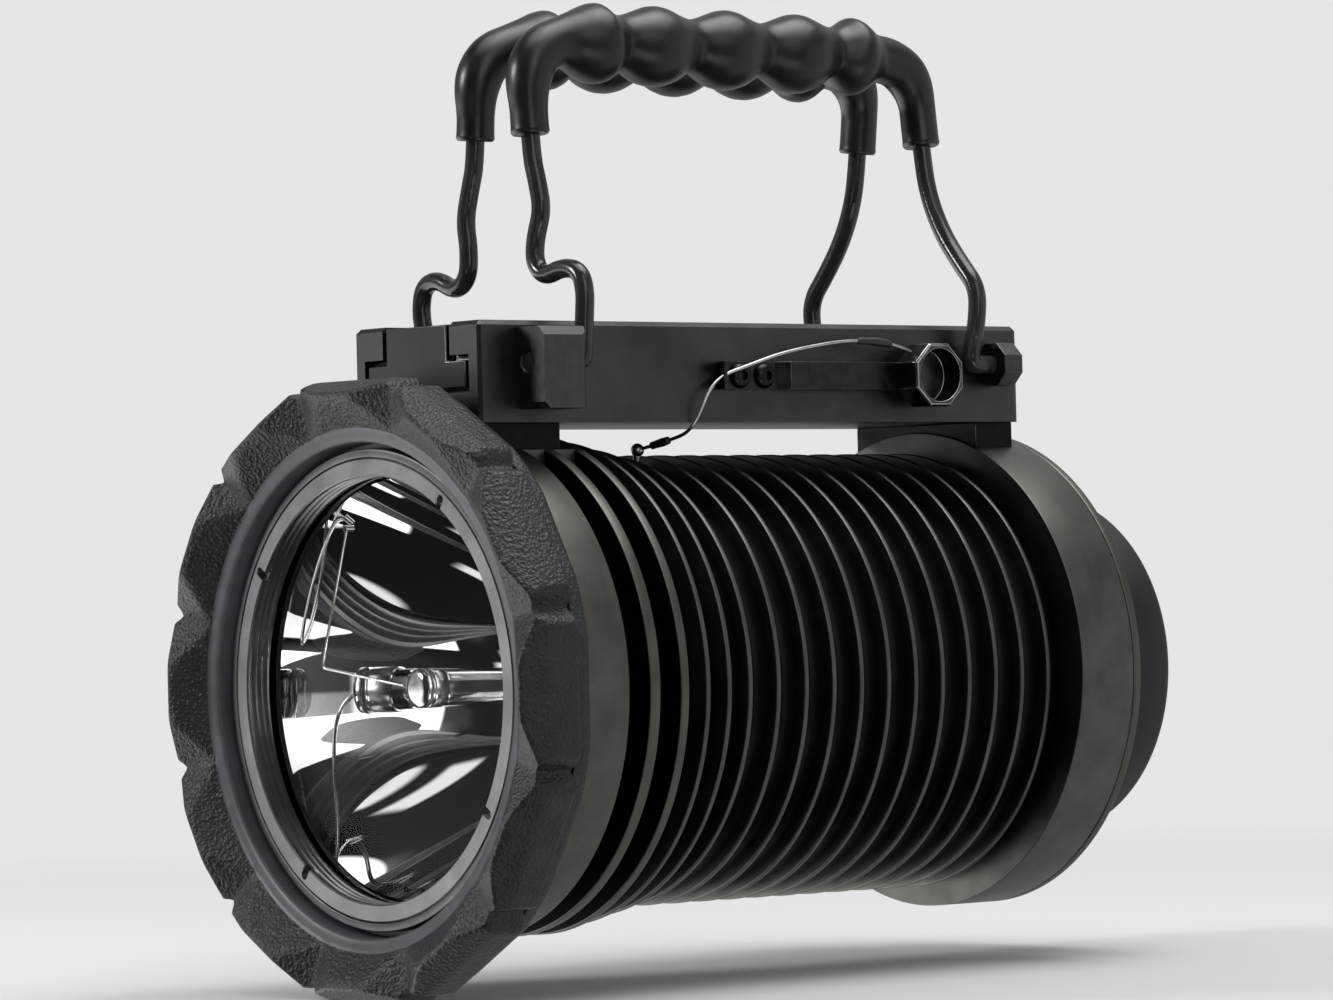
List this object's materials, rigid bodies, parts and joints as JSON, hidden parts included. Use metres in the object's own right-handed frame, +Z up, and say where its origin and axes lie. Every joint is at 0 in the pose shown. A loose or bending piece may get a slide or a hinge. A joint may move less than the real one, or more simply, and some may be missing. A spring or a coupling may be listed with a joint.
{
  "type": "searchlight",
  "caption": "Hand-held short-arc searchlight: finned body, lobed rubber front bumper, top housing, a pair of folding wire handles with finger grips, and a sprung latch with a lanyard.",
  "frame": {"origin": "under the middle of the whole light, on the surface that it stands on", "axes": "+Y along the beam axis from the front to the rear, +Z up, +X to the left of the person who holds it"},
  "size_m": [0.204, 0.3222, 0.3305],
  "materials": {
    "bumper_rubber": "moulded with a leather-like grain",
    "seal_rubber": "plain",
    "ring_aluminium": "satin",
    "cell_aluminium": "black anodised",
    "body_aluminium": "satin, warm grey anodised",
    "rail_aluminium": "black anodised, finely brushed",
    "window_glass": "clear, polished",
    "reflector_mirror": "polished",
    "lamp_quartz": "clear",
    "lamp_tungsten": "ground",
    "lamp_nickel": "plated",
    "holder_ceramic": "unglazed ceramic",
    "carrier_aluminium": "milled",
    "potted_module": "potted",
    "rod_steel": "drawn",
    "screw_steel": "blackened",
    "handle_steel": "black gloss coating",
    "grip_plastic": "satin black",
    "latch_leaf_steel": "blackened",
    "latch_knob_metal": "black anodised, worn bright at its edges",
    "plunger_steel": "ground",
    "cable_steel": "stranded",
    "sleeve_black": "black",
    "anchor_steel": "turned",
    "panel_paint": "fine texture",
    "collar_aluminium": "satin",
    "button_rubber": "satin",
    "socket_nickel": "satin nickel",
    "socket_plastic": "moulded",
    "pin_brass": "polished"
  },
  "bodies": {
    "root": {"ballast_module": "potted_module", "bezel_bumper": "bumper_rubber", "body_housing": "body_aluminium", "button_collar": "collar_aluminium", "cap_screws": "screw_steel", "control_panel": "panel_paint", "front_lead": "lamp_nickel", "front_mount": "rail_aluminium", "igniter_module": "potted_module", "lamp_base": "lamp_nickel", "lamp_carrier": "carrier_aluminium", "lamp_electrodes": "lamp_tungsten", "lamp_envelope": "lamp_quartz", "lamp_ferrule": "lamp_nickel", "lamp_holder": "holder_ceramic", "lanyard_anchor": "anchor_steel", "lanyard_cable": "cable_steel", "lanyard_sleeves": "sleeve_black", "latch_base": "latch_leaf_steel", "latch_screws": "screw_steel", "lead_post": "lamp_nickel", "left_front_pivot": "rail_aluminium", "left_rear_pivot": "rail_aluminium", "lens_cell": "cell_aluminium", "lens_seal": "seal_rubber", "lens_window": "window_glass", "mount_screws": "screw_steel", "panel_screws": "screw_steel", "power_socket": "socket_nickel", "rail_housing": "rail_aluminium", "rail_insert": "rail_aluminium", "rear_bumper": "bumper_rubber", "rear_cap": "body_aluminium", "rear_mount": "rail_aluminium", "rear_seal": "seal_rubber", "reflector": "reflector_mirror", "retaining_ring": "ring_aluminium", "right_front_pivot": "rail_aluminium", "right_rear_pivot": "rail_aluminium", "socket_insert": "socket_plastic", "socket_pins": "pin_brass", "stack_rods": "rod_steel"},
    "left_handle": {"left_handle_wire": "handle_steel", "left_handle_grip": "grip_plastic"},
    "right_handle": {"right_handle_wire": "handle_steel", "right_handle_grip": "grip_plastic"},
    "latch": {"latch_arm": "latch_leaf_steel", "latch_knob": "latch_knob_metal", "latch_plunger": "plunger_steel"},
    "power_button": {"power_button": "button_rubber"}
  },
  "joints": [
    {"name": "left_handle_fold", "type": "hinge", "parent": "root", "child": "left_handle", "pos_m": [0.0404, 0, 0.2086], "axis": [0, 1, 0], "range_deg": [0, 150]},
    {"name": "right_handle_fold", "type": "hinge", "parent": "root", "child": "right_handle", "pos_m": [-0.0404, 0, 0.2086], "axis": [0, -1, 0], "range_deg": [0, 150]},
    {"name": "latch_pull", "type": "hinge", "parent": "root", "child": "latch", "pos_m": [0.0355, 0.0009, 0.2045], "axis": [0, 0, -1], "range_deg": [0, 4.5], "stiffness_Nm_per_rad": 2, "springref_deg": -1.15},
    {"name": "power_button_press", "type": "slide", "parent": "root", "child": "power_button", "axis": [0, -1, 0], "range_m": [0, 0.0015], "stiffness_N_per_m": 400, "springref_m": -0.001}
  ]
}
